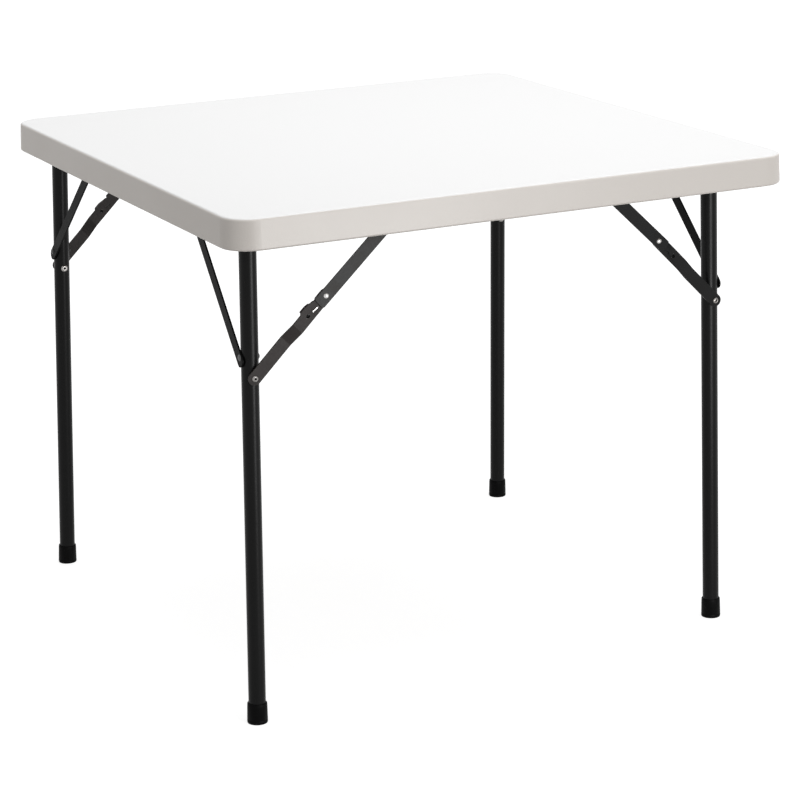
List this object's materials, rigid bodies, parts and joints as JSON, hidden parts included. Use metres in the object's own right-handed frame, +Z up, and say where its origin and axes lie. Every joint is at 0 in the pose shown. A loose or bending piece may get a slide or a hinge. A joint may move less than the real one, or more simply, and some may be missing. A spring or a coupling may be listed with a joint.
{
  "type": "folding card table",
  "caption": "Square folding table with a light moulded top and black round-tube leg pairs that fold flat into its underside on jointed locking braces.",
  "frame": {"origin": "on the floor under the middle of the table's bounding box, which is the middle of the top", "axes": "+X along the front edge to the right leg pair, +Y from the front edge to the back edge, +Z up"},
  "size_m": [0.8638, 0.8638, 0.716],
  "materials": {
    "moulded_top": "fine pebbled light grey moulding",
    "black_paint": "satin black powder coat",
    "black_rivet_paint": "satin black paint over rivet heads",
    "bracket_paint": "satin black powder coat",
    "link_steel": "thin dark grey coat on pressed steel strip",
    "rivet_steel": "bright zinc, softly polished",
    "washer_steel": "dull zinc",
    "screw_steel": "bright zinc",
    "foot_plastic": "matte black moulding",
    "plug_plastic": "matte black moulding"
  },
  "bodies": {
    "tabletop": {"tabletop": "moulded_top", "hinge_strap_front_left": "bracket_paint", "hinge_strap_back_left": "bracket_paint", "hinge_strap_front_right": "bracket_paint", "hinge_strap_back_right": "bracket_paint", "strap_screws": "screw_steel", "brace_bracket_front_left": "bracket_paint", "brace_bracket_back_left": "bracket_paint", "brace_bracket_front_right": "bracket_paint", "brace_bracket_back_right": "bracket_paint", "bracket_screws": "screw_steel", "bracket_rivets": "rivet_steel"},
    "left_legs": {"cross_tube_left": "black_paint", "cross_tube_plugs_left": "plug_plastic", "leg_front_left": "black_paint", "foot_front_left": "foot_plastic", "fixed_brace_front_left": "black_paint", "leg_back_left": "black_paint", "foot_back_left": "foot_plastic", "fixed_brace_back_left": "black_paint", "fixed_brace_rivets_left": "black_rivet_paint", "pivot_rivets_left": "rivet_steel", "pivot_washers_left": "washer_steel"},
    "right_legs": {"cross_tube_right": "black_paint", "cross_tube_plugs_right": "plug_plastic", "leg_front_right": "black_paint", "foot_front_right": "foot_plastic", "fixed_brace_front_right": "black_paint", "leg_back_right": "black_paint", "foot_back_right": "foot_plastic", "fixed_brace_back_right": "black_paint", "fixed_brace_rivets_right": "black_rivet_paint", "pivot_rivets_right": "rivet_steel", "pivot_washers_right": "washer_steel"},
    "upper_link_front_left": {"upper_link_front_left": "link_steel", "elbow_rivet_head_front_left": "rivet_steel"},
    "lower_link_front_left": {"lower_link_front_left": "link_steel", "elbow_rivet_tail_front_left": "rivet_steel"},
    "upper_link_back_left": {"upper_link_back_left": "link_steel", "elbow_rivet_head_back_left": "rivet_steel"},
    "lower_link_back_left": {"lower_link_back_left": "link_steel", "elbow_rivet_tail_back_left": "rivet_steel"},
    "upper_link_front_right": {"upper_link_front_right": "link_steel", "elbow_rivet_head_front_right": "rivet_steel"},
    "lower_link_front_right": {"lower_link_front_right": "link_steel", "elbow_rivet_tail_front_right": "rivet_steel"},
    "upper_link_back_right": {"upper_link_back_right": "link_steel", "elbow_rivet_head_back_right": "rivet_steel"},
    "lower_link_back_right": {"lower_link_back_right": "link_steel", "elbow_rivet_tail_back_right": "rivet_steel"}
  },
  "joints": [
    {"name": "left_legs_fold", "type": "hinge", "parent": "tabletop", "child": "left_legs", "pos_m": [-0.3807, 0, 0.6875], "axis": [0, -1, 0], "range_deg": [0, 91.45]},
    {"name": "upper_link_front_left_fold", "type": "hinge", "parent": "tabletop", "child": "upper_link_front_left", "pos_m": [-0.1782, -0.39105, 0.6875], "axis": [0, -1, 0], "range_deg": [0, 137.11]},
    {"name": "lower_link_front_left_fold", "type": "hinge", "parent": "left_legs", "child": "lower_link_front_left", "pos_m": [-0.38572, -0.38325, 0.48906], "axis": [0, -1, 0], "range_deg": [-135.98, 0]},
    {"name": "upper_link_back_left_fold", "type": "hinge", "parent": "tabletop", "child": "upper_link_back_left", "pos_m": [-0.1782, 0.39105, 0.6875], "axis": [0, -1, 0], "range_deg": [0, 137.11]},
    {"name": "lower_link_back_left_fold", "type": "hinge", "parent": "left_legs", "child": "lower_link_back_left", "pos_m": [-0.38572, 0.38325, 0.48906], "axis": [0, -1, 0], "range_deg": [-135.98, 0]},
    {"name": "right_legs_fold", "type": "hinge", "parent": "tabletop", "child": "right_legs", "pos_m": [0.3657, 0, 0.689], "axis": [0, 1, 0], "range_deg": [0, 90.2]},
    {"name": "upper_link_front_right_fold", "type": "hinge", "parent": "tabletop", "child": "upper_link_front_right", "pos_m": [0.1632, -0.34685, 0.689], "axis": [0, 1, 0], "range_deg": [0, 136.5]},
    {"name": "lower_link_front_right_fold", "type": "hinge", "parent": "right_legs", "child": "lower_link_front_right", "pos_m": [0.36639, -0.33905, 0.4905], "axis": [0, 1, 0], "range_deg": [-135.34, 0]},
    {"name": "upper_link_back_right_fold", "type": "hinge", "parent": "tabletop", "child": "upper_link_back_right", "pos_m": [0.1632, 0.34685, 0.689], "axis": [0, 1, 0], "range_deg": [0, 136.5]},
    {"name": "lower_link_back_right_fold", "type": "hinge", "parent": "right_legs", "child": "lower_link_back_right", "pos_m": [0.36639, 0.33905, 0.4905], "axis": [0, 1, 0], "range_deg": [-135.34, 0]}
  ],
  "couplings": [
    {"joint": "upper_link_front_left_fold", "follows": "left_legs_fold", "ratio": 1.4991},
    {"joint": "lower_link_front_left_fold", "follows": "left_legs_fold", "ratio": -1.4867},
    {"joint": "upper_link_back_left_fold", "follows": "left_legs_fold", "ratio": 1.4991},
    {"joint": "lower_link_back_left_fold", "follows": "left_legs_fold", "ratio": -1.4867},
    {"joint": "upper_link_front_right_fold", "follows": "right_legs_fold", "ratio": 1.5131},
    {"joint": "lower_link_front_right_fold", "follows": "right_legs_fold", "ratio": -1.5002},
    {"joint": "upper_link_back_right_fold", "follows": "right_legs_fold", "ratio": 1.5131},
    {"joint": "lower_link_back_right_fold", "follows": "right_legs_fold", "ratio": -1.5002}
  ]
}
